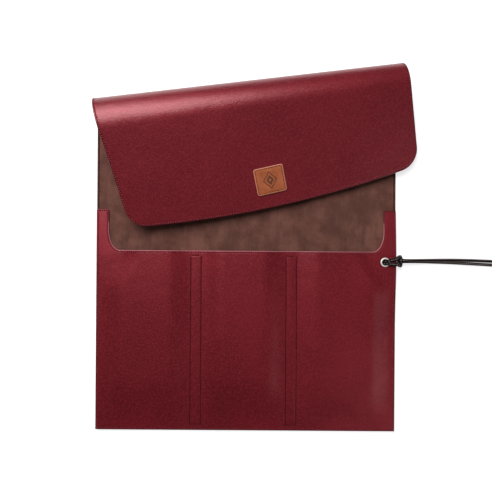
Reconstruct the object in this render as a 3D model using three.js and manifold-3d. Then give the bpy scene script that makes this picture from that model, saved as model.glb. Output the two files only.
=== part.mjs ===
// A leather chef knife roll lying open on a table, in millimetres, +Z up.
// X runs along the hem to the right, Y runs from the hem up to the fold, and the leather lies on Z = 0.
// The modelling frame has Y = 0 at the hem. The exported group moves the origin up the back panel.

import * as THREE from 'three';
import Module from 'manifold-3d';
import { mergeVertices } from 'three/addons/utils/BufferGeometryUtils.js';

const wasm = await Module();
wasm.setup();

// Driving dimensions of the cut leather
const rollWidth = 420;
const sideLength = 677.5;        // hem to the end of the flap, along the outer face at the sides
const endBow = 11.5;             // how much longer the flap is in the middle than at the sides
const flapTaperLeft = 10;        // how far the flap's left side runs in by its end
const flapTaperRight = 3.5;
const endSlant = 1.8;            // how much longer its right side is than the middle, and its left side shorter
const taperStart = 460;          // distance from the hem where the sides begin to run in
const wideColumn = 46;           // widest step of the sheet's grid
const flapCornerRadius = 28;
const shellThickness = 1.8;
const liningThickness = 1.0;
const pocketThickness = 1.6;
const layerGap = 0.3;            // clearance between two leather layers
const originAboveHem = 210;      // the origin's place on the underside of the back panel

// The rolled fold, measured on the outer face
const foldSkew = THREE.MathUtils.degToRad(6.1);     // slant of the fold's axis to the hem
const foldStartLeft = 434;       // hem to the start of the fold, square to its axis
const foldStartRight = 455;
const foldMiddle = 450;          // where the sheet's middle line enters the fold
const foldRadiusLeft = 39;
const foldRadiusRight = 28;
const foldTurn = THREE.MathUtils.degToRad(196);     // the fold turns past flat, and the flap slopes down
const flapTurn = THREE.MathUtils.degToRad(192);
const foldRoundness = 0.35;      // 0 is an even arc, towards 1 the bend gathers in its middle
const flapSettle = 200;          // length over which the flap eases from foldTurn to flapTurn

// The pocket panel
const mouthHeight = 252;         // hem to the pocket mouth
const postRise = 57.5;           // mouth to the top of each side post
const postWidth = 17.5;
const scoopRun = 15.5;           // the curve from the mouth up into the post, along X and along Y
const scoopRise = 28.5;
const seamLand = 6;              // strip along hem and sides that is sewn down flat
const bandWidth = 14.5;
const hemEase = 70;              // distance over which a pocket fills out above the hem
const sideEase = 32;             // distance over which a pocket fills out from its sewn side
const scoopEase = 60;            // distance below the mouth where the pocket flattens beside the scoop
const bands = [
  { name: 'left', centreShare: -0.333 },            // share of half the roll's width
  { name: 'right', centreShare: 0.305 },
];
const pockets = [
  { name: 'left', crown: 6.5 },                     // how far the panel stands off the lining
  { name: 'middle', crown: 6.2 },
  { name: 'right', crown: 6.2 },
];

// The label patch, in the flat pattern
const patchWidth = 41;
const patchHeight = 37;
const patchEndGap = 19.5;        // patch to the end of the flap, on the middle line
const patchThickness = 1.6;
const patchCorner = 3;

// The eyelet and the lift that its cord gives to the panel's edge
const eyeletInset = 16;          // eyelet centre to the panel's right edge
const eyeletBelowMouth = 14.5;   // eyelet centre to the line of the pocket mouth
const eyeletFlat = 9;            // the eyelet clasps the layers flat this far from its centre
const eyeletEase = 24;           // and the pocket fills out over this distance round it
const eyeletBore = 7.3;
const eyeletWall = 0.6;
const eyeletClearance = 0.3;
const eyeletFlange = 13;         // outer diameter of the face ring
const eyeletBackFlange = 11.4;
const eyeletFaceHeight = 1.1;
const eyeletBackHeight = 0.7;
const edgeLift = 4.4;
const liftRun = 45;              // distance over which the panel rises to the lift
const liftFlat = 22;             // width along the edge that stays at full lift
const liftReach = 92;            // half length of the lifted stretch along the edge

// Cord
const cordDiameter = 4.4;
const strandSides = 10;
const hitchSides = 8;

// Worked out from the values above
const halfWidth = rollWidth / 2;
const liningBase = shellThickness + layerGap;
const pocketBase = liningBase + liningThickness + layerGap;
const pocketFace = pocketBase + pocketThickness;
const eyeletX = halfWidth - eyeletInset;
const eyeletHeight = mouthHeight - eyeletBelowMouth;
const postHeight = mouthHeight + postRise;
const edgeTop = edgeLift + pocketFace;              // face of the lifted edge beside the eyelet
const holeRadius = eyeletBore / 2 + eyeletWall + eyeletClearance;
const startSlope = (foldStartRight - foldStartLeft) / rollWidth;
const radiusSlope = (foldRadiusRight - foldRadiusLeft) / rollWidth;
const postInner = halfWidth - postWidth;

function smoothStep(t) {
  const c = THREE.MathUtils.clamp(t, 0, 1);
  return c * c * (3 - 2 * c);
}

// Breaks one axis into steps no longer than each stretch allows
function subdivide(stretches) {
  const stops = [stretches[0].from];
  for (const { from, to, step } of stretches) {
    const parts = Math.max(1, Math.ceil((to - from) / step - 1e-6));
    for (let k = 1; k <= parts; k += 1) {
      stops.push(from + ((to - from) * k) / parts);
    }
  }
  return stops;
}

// The panel's right edge rises over the cord that passes under it
function liftAt(x, y) {
  const across = smoothStep((x - (halfWidth - liftFlat - liftRun)) / liftRun);
  const along = THREE.MathUtils.clamp((y - eyeletHeight) / liftReach, -1, 1);
  return edgeLift * across * Math.cos((along * Math.PI) / 2) ** 2;
}

// Bends a point of the flat sheet onto the laid panel, the fold and the flap.
// offset is the height above the outer face, towards the lining.
function foldPoint(x, y, offset) {
  const along = x * Math.cos(foldSkew) + y * Math.sin(foldSkew);
  const square = -x * Math.sin(foldSkew) + y * Math.cos(foldSkew);
  const across = along - foldMiddle * Math.sin(foldSkew) + halfWidth;
  const start = foldStartLeft + startSlope * across;
  const arc = Math.PI * (foldRadiusLeft + radiusSlope * across);
  const travel = Math.max(0, square - start);
  const steps = 64;
  let forward = Math.min(square, start);
  let height = 0;
  for (let k = 0; k < steps; k += 1) {
    const turn = turnAt(((k + 0.5) / steps) * travel, arc);
    forward += (Math.cos(turn) * travel) / steps;
    height += (Math.sin(turn) * travel) / steps;
  }
  const turn = turnAt(travel, arc);
  forward -= Math.sin(turn) * offset;
  height += Math.cos(turn) * offset;
  return new THREE.Vector3(
    along * Math.cos(foldSkew) - forward * Math.sin(foldSkew),
    along * Math.sin(foldSkew) + forward * Math.cos(foldSkew),
    height + liftAt(x, y),
  );
}

// The angle that the sheet has turned through after a length of travel into the fold
function turnAt(travel, arc) {
  const t = THREE.MathUtils.clamp(travel / arc, 0, 1);
  const bend = foldTurn * (t - (foldRoundness * Math.sin(2 * Math.PI * t)) / (2 * Math.PI));
  return bend + (flapTurn - foldTurn) * smoothStep((travel - arc) / flapSettle);
}

// Where a column of the flat sheet enters the fold, and where it leaves it
function foldEntry(x, leaving) {
  const arcSlope = leaving ? Math.PI * radiusSlope : 0;
  const arcLeft = leaving ? Math.PI * foldRadiusLeft : 0;
  const slope = startSlope + arcSlope;
  const offset = x * Math.cos(foldSkew) - foldMiddle * Math.sin(foldSkew) + halfWidth;
  const rise = x * Math.sin(foldSkew) + foldStartLeft + arcLeft + slope * offset;
  return rise / (Math.cos(foldSkew) - slope * Math.sin(foldSkew));
}

function taperAt(x, y) {
  const share = THREE.MathUtils.clamp((y - taperStart) / (sideLength - taperStart), 0, 1);
  return share * (x < 0 ? flapTaperLeft : flapTaperRight);
}

// Joins two matching grids of points into one closed solid, with walls round every missing cell
function gridSolid(columns, rows, lower, upper, present = () => true) {
  const positions = [];
  const index = [];
  const stride = columns * 2;
  for (let j = 0; j < rows; j += 1) {
    for (let i = 0; i < columns; i += 1) {
      positions.push(...lower(i, j).toArray(), ...upper(i, j).toArray());
    }
  }
  const low = (i, j) => j * stride + i * 2;
  const high = (i, j) => low(i, j) + 1;
  const wall = (a, b) => index.push(a, b, b + 1, a, b + 1, a + 1);
  const cell = (i, j) => i >= 0 && j >= 0 && i < columns - 1 && j < rows - 1 && present(i, j);
  for (let j = 0; j < rows - 1; j += 1) {
    for (let i = 0; i < columns - 1; i += 1) {
      if (!cell(i, j)) continue;
      index.push(high(i, j), high(i + 1, j), high(i + 1, j + 1));
      index.push(high(i, j), high(i + 1, j + 1), high(i, j + 1));
      index.push(low(i, j), low(i + 1, j + 1), low(i + 1, j));
      index.push(low(i, j), low(i, j + 1), low(i + 1, j + 1));
      if (!cell(i, j - 1)) wall(low(i, j), low(i + 1, j));
      if (!cell(i + 1, j)) wall(low(i + 1, j), low(i + 1, j + 1));
      if (!cell(i, j + 1)) wall(low(i + 1, j + 1), low(i, j + 1));
      if (!cell(i - 1, j)) wall(low(i, j + 1), low(i, j));
    }
  }
  const geometry = new THREE.BufferGeometry();
  geometry.setAttribute('position', new THREE.Float32BufferAttribute(positions, 3));
  geometry.setIndex(index);
  return dropUnused(geometry);
}

// Keeps only the points that a face uses
function dropUnused(geometry) {
  const source = geometry.getAttribute('position');
  const order = new Map();
  const positions = [];
  const index = Array.from(geometry.getIndex().array, (old) => {
    if (!order.has(old)) {
      order.set(old, order.size);
      positions.push(source.getX(old), source.getY(old), source.getZ(old));
    }
    return order.get(old);
  });
  const kept = new THREE.BufferGeometry();
  kept.setAttribute('position', new THREE.Float32BufferAttribute(positions, 3));
  kept.setIndex(index);
  return kept;
}

function toManifold(geometry) {
  const bare = geometry.clone();
  bare.deleteAttribute('normal');
  bare.deleteAttribute('uv');
  const merged = mergeVertices(bare, 1e-4);
  return new wasm.Manifold(new wasm.Mesh({
    numProp: 3,
    vertProperties: new Float32Array(merged.getAttribute('position').array),
    triVerts: new Uint32Array(merged.getIndex().array),
  }));
}

function fromManifold(solid) {
  const mesh = solid.getMesh();
  const geometry = new THREE.BufferGeometry();
  geometry.setAttribute('position', new THREE.BufferAttribute(mesh.vertProperties, 3));
  geometry.setIndex(new THREE.BufferAttribute(mesh.triVerts, 1));
  return geometry;
}

// Punches the eyelet's hole through one leather layer
function punchEyeletHole(geometry) {
  const punch = new THREE.CylinderGeometry(holeRadius, holeRadius, 40, 16);
  punch.rotateX(Math.PI / 2);
  punch.translate(eyeletX, eyeletHeight, 0);
  return fromManifold(toManifold(geometry).subtract(toManifold(punch)));
}

// The grid of the cut sheet: columns across it, rows from the hem to the flap's end
const liftStart = halfWidth - liftFlat - liftRun;
const liftFull = halfWidth - liftFlat;
const firstStretchEnd = -30;
const sheetColumns = subdivide([
  { from: -halfWidth, to: firstStretchEnd, step: wideColumn },
  { from: firstStretchEnd, to: liftStart, step: wideColumn },
  { from: liftStart, to: liftFull, step: 9 },
  { from: liftFull, to: halfWidth, step: 22 },
]);
const liftLow = eyeletHeight - liftReach;
const liftHigh = eyeletHeight + liftReach;
const panelRows = subdivide([
  { from: 0, to: liftLow, step: 75 },
  { from: liftLow, to: liftHigh, step: 21 },
]);
const turnRows = 17;
const flapRows = 6;
const cornerRows = 4;
const endHalf = halfWidth - flapCornerRadius;
const cornerSweep = Math.PI / 2 - Math.atan((2 * endBow) / endHalf);

// One row of the sheet grid: its place along Y, and how far it runs in at a rounded corner
function sheetRow(row, x) {
  if (row < panelRows.length) return { y: panelRows[row], inset: 0 };
  const entry = foldEntry(x, false);
  const exit = foldEntry(x, true);
  const turnRow = row - panelRows.length;
  if (turnRow <= turnRows) return { y: entry + ((exit - entry) * turnRow) / turnRows, inset: 0 };
  const bow = endBow * (1 - (x / halfWidth) ** 2) + endSlant * (x / halfWidth);
  const cornerStart = sideLength - flapCornerRadius * Math.sin(cornerSweep) + bow;
  const flapRow = turnRow - turnRows;
  if (flapRow <= flapRows) return { y: exit + ((cornerStart - exit) * flapRow) / flapRows, inset: 0 };
  const angle = (cornerSweep * (flapRow - flapRows)) / cornerRows;
  return {
    y: cornerStart + flapCornerRadius * Math.sin(angle),
    inset: flapCornerRadius * (1 - Math.cos(angle)),
  };
}

const sheetRowCount = panelRows.length + 1 + turnRows + flapRows + cornerRows;

function sheetLayer(base, thickness) {
  const place = (i, j, offset) => {
    const column = sheetColumns[i];
    const { y, inset } = sheetRow(j, column);
    const x = column * (1 - (inset + taperAt(column, y)) / halfWidth);
    return foldPoint(x, y, offset);
  };
  const geometry = gridSolid(
    sheetColumns.length,
    sheetRowCount,
    (i, j) => place(i, j, base),
    (i, j) => place(i, j, base + thickness),
  );
  return punchEyeletHole(geometry);
}

// The pocket panel's mouth, with a scoop up into each post
function mouthAt(x) {
  const t = THREE.MathUtils.clamp((Math.abs(x) - (postInner - scoopRun)) / scoopRun, 0, 1);
  return mouthHeight + scoopRise * (1 - Math.sqrt(1 - t * t));
}

function bandEdges(band) {
  const centre = band.centreShare * halfWidth;
  return { from: centre - bandWidth / 2, to: centre + bandWidth / 2 };
}

// How far the pocket panel stands off the lining at a point of the panel
function pocketCrown(x, y) {
  const nearMouth = smoothStep((y - (mouthHeight - scoopEase)) / scoopEase);
  const sideStart = halfWidth - seamLand - (postWidth + scoopRun - seamLand) * nearMouth;
  const [left, right] = bands.map(bandEdges);
  const spans = [
    { from: -sideStart, to: left.from },
    { from: left.to, to: right.from },
    { from: right.to, to: sideStart },
  ];
  let crown = 0;
  spans.forEach(({ from, to }, k) => {
    const ease = Math.min(sideEase, (to - from) / 2);
    const rise = smoothStep((x - from) / ease) * smoothStep((to - x) / ease);
    crown += pockets[k].crown * rise * smoothStep((y - seamLand) / hemEase);
  });
  const fromEyelet = Math.hypot(x - eyeletX, y - eyeletHeight);
  return crown * smoothStep((fromEyelet - eyeletFlat) / eyeletEase);
}

function pocketPanel() {
  const [left, right] = bands.map(bandEdges);
  const scoopStart = postInner - scoopRun;
  const columns = subdivide([
    { from: -halfWidth, to: -halfWidth + seamLand, step: 10 },
    { from: -halfWidth + seamLand, to: -postInner, step: 12 },
    { from: -postInner, to: -scoopStart, step: 4.5 },
    { from: -scoopStart, to: left.from, step: 17 },
    { from: left.from, to: left.to, step: 15 },
    { from: left.to, to: right.from, step: 17 },
    { from: right.from, to: right.to, step: 15 },
    { from: right.to, to: scoopStart, step: 12 },
    { from: scoopStart, to: postInner, step: 4.5 },
    { from: postInner, to: halfWidth - seamLand, step: 12 },
    { from: halfWidth - seamLand, to: halfWidth, step: 10 },
  ]);
  const bodyRows = subdivide([
    { from: 0, to: seamLand, step: 10 },
    { from: seamLand, to: seamLand + hemEase, step: 18 },
    { from: seamLand + hemEase, to: mouthHeight, step: 21 },
  ]);
  const rows = bodyRows.concat(subdivide([
    { from: mouthHeight + scoopRise, to: postHeight, step: 30 },
  ]));
  const point = (i, j, offset) => {
    const x = columns[i];
    const inBody = j < bodyRows.length;
    const stretch = inBody ? scoopStretch(x, rows[j]) : rows[j];
    const z = pocketBase + offset + liftAt(x, stretch) + pocketCrown(x, stretch);
    return new THREE.Vector3(x, stretch, z);
  };
  const present = (i, j) => {
    const middle = (columns[i] + columns[i + 1]) / 2;
    return j < bodyRows.length - 1 || Math.abs(middle) > postInner;
  };
  const geometry = gridSolid(
    columns.length,
    rows.length,
    (i, j) => point(i, j, 0),
    (i, j) => point(i, j, pocketThickness),
    present,
  );
  return punchEyeletHole(geometry);
}

// Near the mouth the panel's rows bend up to follow the scoop
function scoopStretch(x, y) {
  const bendStart = mouthHeight - scoopEase;
  if (y <= bendStart) return y;
  const share = (y - bendStart) / scoopEase;
  return bendStart + share * (mouthAt(x) - bendStart);
}

function labelPatch() {
  const columns = subdivide([{ from: -patchWidth / 2, to: patchWidth / 2, step: 9 }]);
  const middle = sideLength + endBow - patchEndGap - patchHeight / 2;
  const rows = subdivide([{ from: middle - patchHeight / 2, to: middle + patchHeight / 2, step: 9 }]);
  const cornerCut = patchCorner * (1 - Math.SQRT1_2);
  const place = (i, j, offset) => {
    const atSide = i === 0 || i === columns.length - 1;
    const atEnd = j === 0 || j === rows.length - 1;
    const cut = atSide && atEnd ? cornerCut : 0;
    const x = columns[i] - Math.sign(columns[i]) * cut;
    const y = rows[j] - Math.sign(rows[j] - middle) * cut;
    return foldPoint(x, y, offset);
  };
  return gridSolid(
    columns.length,
    rows.length,
    (i, j) => place(i, j, -layerGap - patchThickness),
    (i, j) => place(i, j, -layerGap),
  );
}

// Eyelet: a turned ring that clasps all three leather layers
function eyelet() {
  const bore = eyeletBore / 2;
  const barrel = bore + eyeletWall;
  const face = eyeletFlange / 2;
  const back = eyeletBackFlange / 2;
  const seat = edgeTop + layerGap;
  const under = edgeLift - layerGap;
  const profile = [
    [bore, under - eyeletBackHeight * 0.6],
    [barrel, under - eyeletBackHeight],
    [back - 0.3, under - eyeletBackHeight],
    [back, under],
    [barrel, under],
    [barrel, seat],
    [face, seat],
    [face - 0.2, seat + eyeletFaceHeight * 0.55],
    [face - 1.0, seat + eyeletFaceHeight],
    [bore + 0.7, seat + eyeletFaceHeight],
    [bore, seat + eyeletFaceHeight * 0.5],
    [bore, under - eyeletBackHeight * 0.6],
  ];
  const points = profile.map(([radius, z]) => new THREE.Vector2(radius, z));
  const geometry = new THREE.LatheGeometry(points, 20);
  geometry.rotateX(Math.PI / 2);
  geometry.translate(eyeletX, eyeletHeight, 0);
  return geometry;
}

// The hitch's route, hand chosen: from the lower strand over the loop's tip, under the panel, up
// through the eyelet, round the loop on top, back down the eyelet and out again as the upper strand.
// x and y run from the eyelet's centre. z counts from the table, or from the edge's face where over is 1.
const hitchRoute = [
  { x: 30, y: 1.1, over: 0.5, z: 2.2, radius: 2.2 },
  { x: 27, y: 1, over: 0.5, z: 2.6, radius: 2.2 },
  { x: 24.4, y: 0.8, over: 0.5, z: 2.5, radius: 2.2 },
  { x: 22, y: -0.1, over: 0.5, z: 1.4, radius: 2.2 },
  { x: 20, y: -0.6, over: 0.5, z: -0.8, radius: 2.1 },
  { x: 18.2, y: -0.9, over: 0, z: 2.5, radius: 1.85 },
  { x: 15.5, y: -1.2, over: 0, z: 2.1, radius: 1.85 },
  { x: 11, y: -1.9, over: 0, z: 2.05, radius: 1.85 },
  { x: 5.5, y: -1.9, over: 0, z: 1.65, radius: 1.55 },
  { x: 1.7, y: -1.75, over: 0, z: 2.3, radius: 1.55 },
  { x: 0, y: -1.75, over: 0.5, z: 0.1, radius: 1.6 },
  { x: 0, y: -1.75, over: 1, z: 0.2, radius: 1.6 },
  { x: 1.5, y: -1.95, over: 1, z: 2.8, radius: 1.75 },
  { x: 5, y: -2.3, over: 1, z: 3.9, radius: 2 },
  { x: 10, y: -2.5, over: 1, z: 3.1, radius: 2.2 },
  { x: 14.8, y: -2.9, over: 1, z: 2.8, radius: 2.2 },
  { x: 19.2, y: -4, over: 1, z: 1, radius: 2.2 },
  { x: 22.1, y: -4.8, over: 0.5, z: 2.1, radius: 2.2 },
  { x: 24.2, y: -3.2, over: 0, z: 3.2, radius: 2.2 },
  { x: 24.6, y: 0, over: 0, z: 2.3, radius: 2.2 },
  { x: 24.7, y: 1.9, over: 0, z: 2.3, radius: 2.2 },
  { x: 24.6, y: 3.9, over: 0, z: 2.3, radius: 2.2 },
  { x: 23.8, y: 6.3, over: 0, z: 3.5, radius: 2.2 },
  { x: 22, y: 7.9, over: 0.5, z: 2.2, radius: 2.2 },
  { x: 19.2, y: 7.5, over: 1, z: 0.9, radius: 2.2 },
  { x: 14.8, y: 5, over: 1, z: 2.7, radius: 2.2 },
  { x: 10, y: 3.5, over: 1, z: 3.1, radius: 2.2 },
  { x: 5, y: 2.4, over: 1, z: 3.9, radius: 2 },
  { x: 1.5, y: 1.95, over: 1, z: 2.8, radius: 1.75 },
  { x: 0, y: 1.75, over: 1, z: 0.2, radius: 1.6 },
  { x: 0, y: 1.75, over: 0.5, z: 0.1, radius: 1.6 },
  { x: 1.7, y: 1.75, over: 0, z: 2.3, radius: 1.55 },
  { x: 5.5, y: 2, over: 0, z: 1.65, radius: 1.55 },
  { x: 11, y: 2.8, over: 0, z: 2.05, radius: 1.85 },
  { x: 15.8, y: 3, over: 0, z: 2.15, radius: 1.85 },
  { x: 18.5, y: 3.3, over: 0, z: 4, radius: 1.85 },
  { x: 19.8, y: 3.4, over: 0.5, z: 3, radius: 2.1 },
  { x: 21.7, y: 3.3, over: 1, z: 0.9, radius: 2.2 },
  { x: 24.2, y: 3.1, over: 1, z: 2, radius: 2.2 },
  { x: 27, y: 2.9, over: 1, z: 2.5, radius: 2.2 },
  { x: 30, y: 2.7, over: 1, z: 2.3, radius: 2.2 },
];

// The free strands' routes, hand chosen: off the hitch, down to the table and away to the right.
// x and y run from the eyelet's centre, and z from the table.
const lowerStrandRoute = [
  [30.5, 1.1, 6.9], [37, 1.1, 5.6], [44, 1.1, 3.6], [52, 1, 2.6], [62, 0.8, 2.25], [74, 0.5, 2.2],
  [88, 0.1, 2.2], [102, -0.4, 2.2], [116, -1.1, 2.2], [130, -1.8, 2.2], [142, -2.4, 2.2], [153, -3, 2.2],
  [163, -3.5, 2.2],
];
const upperStrandRoute = [
  [30.5, 2.7, 11.7], [37, 2.8, 10.5], [44, 2.9, 8.6], [52, 3, 7.5], [62, 3.2, 6.8], [74, 3.4, 6.4],
  [88, 3.6, 5.8], [102, 3.6, 5], [116, 3.4, 4], [130, 3, 3], [142, 2.6, 2.4], [153, 2.2, 2.2],
  [163, 1.8, 2.2],
];

// A closed rope through points that each have a radius
function ropeSolid(route, sides, stepsPerPoint) {
  const curve = new THREE.CatmullRomCurve3(route.map(({ x, y, over, z }) => (
    new THREE.Vector3(eyeletX + x, eyeletHeight + y, over * edgeTop + z)
  )));
  const count = (route.length - 1) * stepsPerPoint;
  const centres = [];
  const radii = [];
  for (let k = 0; k <= count; k += 1) {
    const share = k / count;
    const place = share * (route.length - 1);
    const before = Math.min(Math.floor(place), route.length - 2);
    centres.push(curve.getPoint(share));
    radii.push(THREE.MathUtils.lerp(route[before].radius, route[before + 1].radius, place - before));
  }
  const positions = [];
  const index = [];
  let side = new THREE.Vector3(0, 1, 0);
  centres.forEach((centre, k) => {
    const ahead = centres[Math.min(k + 1, count)].clone().sub(centres[Math.max(k - 1, 0)]).normalize();
    side = side.clone().addScaledVector(ahead, -side.dot(ahead)).normalize();
    const third = new THREE.Vector3().crossVectors(ahead, side);
    for (let s = 0; s < sides; s += 1) {
      const angle = (2 * Math.PI * s) / sides;
      const spoke = side.clone().multiplyScalar(Math.cos(angle)).addScaledVector(third, Math.sin(angle));
      positions.push(...centre.clone().addScaledVector(spoke, radii[k]).toArray());
    }
  });
  for (let k = 0; k < count; k += 1) {
    for (let s = 0; s < sides; s += 1) {
      const a = k * sides + s;
      const b = k * sides + ((s + 1) % sides);
      index.push(a, b, b + sides, a, b + sides, a + sides);
    }
  }
  for (let s = 1; s < sides - 1; s += 1) {
    index.push(0, s + 1, s);
    index.push(count * sides, count * sides + s, count * sides + s + 1);
  }
  const geometry = new THREE.BufferGeometry();
  geometry.setAttribute('position', new THREE.Float32BufferAttribute(positions, 3));
  geometry.setIndex(index);
  return geometry;
}

function strandSolid(route) {
  const path = new THREE.CatmullRomCurve3(route.map(([x, y, z]) => (
    new THREE.Vector3(eyeletX + x, eyeletHeight + y, z)
  )));
  const circle = new THREE.Shape(
    Array.from({ length: strandSides }, (_, k) => {
      const angle = (2 * Math.PI * k) / strandSides;
      return new THREE.Vector2(Math.cos(angle), Math.sin(angle)).multiplyScalar(cordDiameter / 2);
    }),
  );
  return new THREE.ExtrudeGeometry(circle, { steps: 20, extrudePath: path, bevelEnabled: false });
}

const burgundyLeather = { color: 0x731f28, roughness: 0.45, metalness: 0 };
const pocketLeather = { color: 0x6b1c25, roughness: 0.45, metalness: 0 };
const brownSuede = { color: 0x765347, roughness: 0.9, metalness: 0 };
const tanLeather = { color: 0xb8663c, roughness: 0.55, metalness: 0 };
const paleBrass = { color: 0xe6cfc0, roughness: 0.3, metalness: 1 };
const darkBraid = { color: 0x2a2121, roughness: 0.8, metalness: 0 };

function piece(name, geometry, finish) {
  const mesh = new THREE.Mesh(geometry, new THREE.MeshStandardMaterial(finish));
  mesh.name = name;
  return mesh;
}

const knifeRoll = new THREE.Group();
knifeRoll.position.y = -originAboveHem;
knifeRoll.add(piece('outer_shell', sheetLayer(0, shellThickness), burgundyLeather));
knifeRoll.add(piece('lining', sheetLayer(liningBase, liningThickness), brownSuede));
knifeRoll.add(piece('pocket_panel', pocketPanel(), pocketLeather));
knifeRoll.add(piece('label_patch', labelPatch(), tanLeather));
knifeRoll.add(piece('eyelet', eyelet(), paleBrass));
knifeRoll.add(piece('cord_hitch', ropeSolid(hitchRoute, hitchSides, 2), darkBraid));
knifeRoll.add(piece('cord_strand_lower', strandSolid(lowerStrandRoute), darkBraid));
knifeRoll.add(piece('cord_strand_upper', strandSolid(upperStrandRoute), darkBraid));

export default knifeRoll;
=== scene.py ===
# A leather chef knife roll lying open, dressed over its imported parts.
# Flat patterns are worked out in millimetres from the hem. Every mesh is placed in metres.

import math

import bpy
import numpy as np
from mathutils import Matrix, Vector
from mathutils.geometry import delaunay_2d_cdt


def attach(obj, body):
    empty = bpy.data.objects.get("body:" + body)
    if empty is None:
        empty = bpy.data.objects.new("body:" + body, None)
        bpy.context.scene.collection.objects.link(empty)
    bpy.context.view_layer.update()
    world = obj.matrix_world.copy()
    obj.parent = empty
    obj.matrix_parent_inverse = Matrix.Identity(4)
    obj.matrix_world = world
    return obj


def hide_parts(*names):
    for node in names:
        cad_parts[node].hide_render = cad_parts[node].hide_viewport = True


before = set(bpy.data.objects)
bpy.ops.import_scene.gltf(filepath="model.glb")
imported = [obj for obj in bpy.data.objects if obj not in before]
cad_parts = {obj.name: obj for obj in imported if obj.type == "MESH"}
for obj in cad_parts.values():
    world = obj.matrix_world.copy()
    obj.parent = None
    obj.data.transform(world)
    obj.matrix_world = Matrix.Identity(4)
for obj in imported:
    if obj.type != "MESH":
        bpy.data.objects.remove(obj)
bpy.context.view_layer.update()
scene = bpy.context.scene

# Driving dimensions, as in the part's source
roll_width = 420.0
side_length = 677.5
end_bow = 11.5
flap_taper_left = 10.0
flap_taper_right = 3.5
end_slant = 1.8
taper_start = 460.0
flap_corner_radius = 28.0
shell_thickness = 1.8
lining_thickness = 1.0
pocket_thickness = 1.6
layer_gap = 0.3
origin_above_hem = 210.0
fold_skew = math.radians(6.1)
fold_start_left = 434.0
fold_start_right = 455.0
fold_middle = 450.0
fold_radius_left = 39.0
fold_radius_right = 28.0
fold_turn = math.radians(196)
flap_turn = math.radians(192)
fold_roundness = 0.35
fold_steps = 64
flap_settle = 200.0
slack_start = 560.0
slack_run = 70.0
slack_height = 0.35
mouth_height = 252.0
post_rise = 57.5
post_width = 17.5
scoop_run = 15.5
scoop_rise = 28.5
seam_land = 6.0
band_width = 14.5
hem_ease = 70.0
side_ease = 32.0
scoop_ease = 60.0
band_shares = (-0.333, 0.305)
pocket_crowns = (6.5, 6.2, 6.2)
patch_width = 41.0
patch_height = 37.0
patch_end_gap = 19.5
patch_thickness = 1.6
patch_corner = 3.0
eyelet_inset = 16.0
eyelet_below_mouth = 14.5
eyelet_flat = 9.0
eyelet_ease = 24.0
eyelet_bore = 7.3
eyelet_wall = 0.6
eyelet_clearance = 0.3
eyelet_flange = 13.0
eyelet_back_flange = 11.4
eyelet_face_height = 1.1
eyelet_back_height = 0.7
edge_lift = 4.4
lift_run = 45.0
lift_flat = 22.0
lift_reach = 92.0
cord_diameter = 4.4

# Mesh steps along the outlines, finer where the sheet bends
hem_step = 3.4
bend_from = 425
bend_to = 575
bend_step = 2.5
flap_step = 3.2
post_step = 2.4

# The posts' small chamfered tops
corner_cut = 1.2
corner_ease = 2.6

# Sewing
stitch_pitch = 3.1
stitch_length = 1.6
thread_radius = 0.52
thread_sides = 6
thread_slant = 0.28
hole_reach = 0.95
hole_depth = 0.06
hole_lip = 0.03
hole_corners = 8
stitch_inset = 2.5
groove_depth = 0.26
groove_width = 0.6
seam_step = 1.2
band_foot = 8.5
band_top = mouth_height - 7.5
band_puff = 0.45
under_seam_to = 430
flap_seam_from = 432
patch_stitch_inset = 2.3

half_width = roll_width / 2
lining_base = shell_thickness + layer_gap
lining_top = lining_base + lining_thickness
pocket_base = lining_top + layer_gap
pocket_face = pocket_base + pocket_thickness
eyelet_x = half_width - eyelet_inset
eyelet_y = mouth_height - eyelet_below_mouth
eyelet_centre = np.array([eyelet_x, eyelet_y])
edge_top = edge_lift + pocket_face
hole_radius = eyelet_bore / 2 + eyelet_wall + eyelet_clearance
post_height = mouth_height + post_rise
post_inner = half_width - post_width
start_slope = (fold_start_right - fold_start_left) / roll_width
radius_slope = (fold_radius_right - fold_radius_left) / roll_width


def in_frame(points):
    """Hem-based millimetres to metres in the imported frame."""
    moved = np.array(points, float)
    moved[..., 1] -= origin_above_hem
    return moved / 1000


# Camera, straight above the roll and turned a little, as the photograph is
camera_height = 0.690
camera_y = 258.9
camera_turn = math.radians(0.41)
view_width = 0.6954
sensor_width = 36
camera_data = bpy.data.cameras.new("camera")
camera_data.sensor_width = sensor_width
camera_data.lens = sensor_width * camera_height / view_width
camera = bpy.data.objects.new("camera", camera_data)
camera.location = (0, (camera_y - origin_above_hem) / 1000, camera_height)
camera.rotation_euler = (0, 0, camera_turn)
scene.collection.objects.link(camera)
scene.camera = camera

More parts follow.
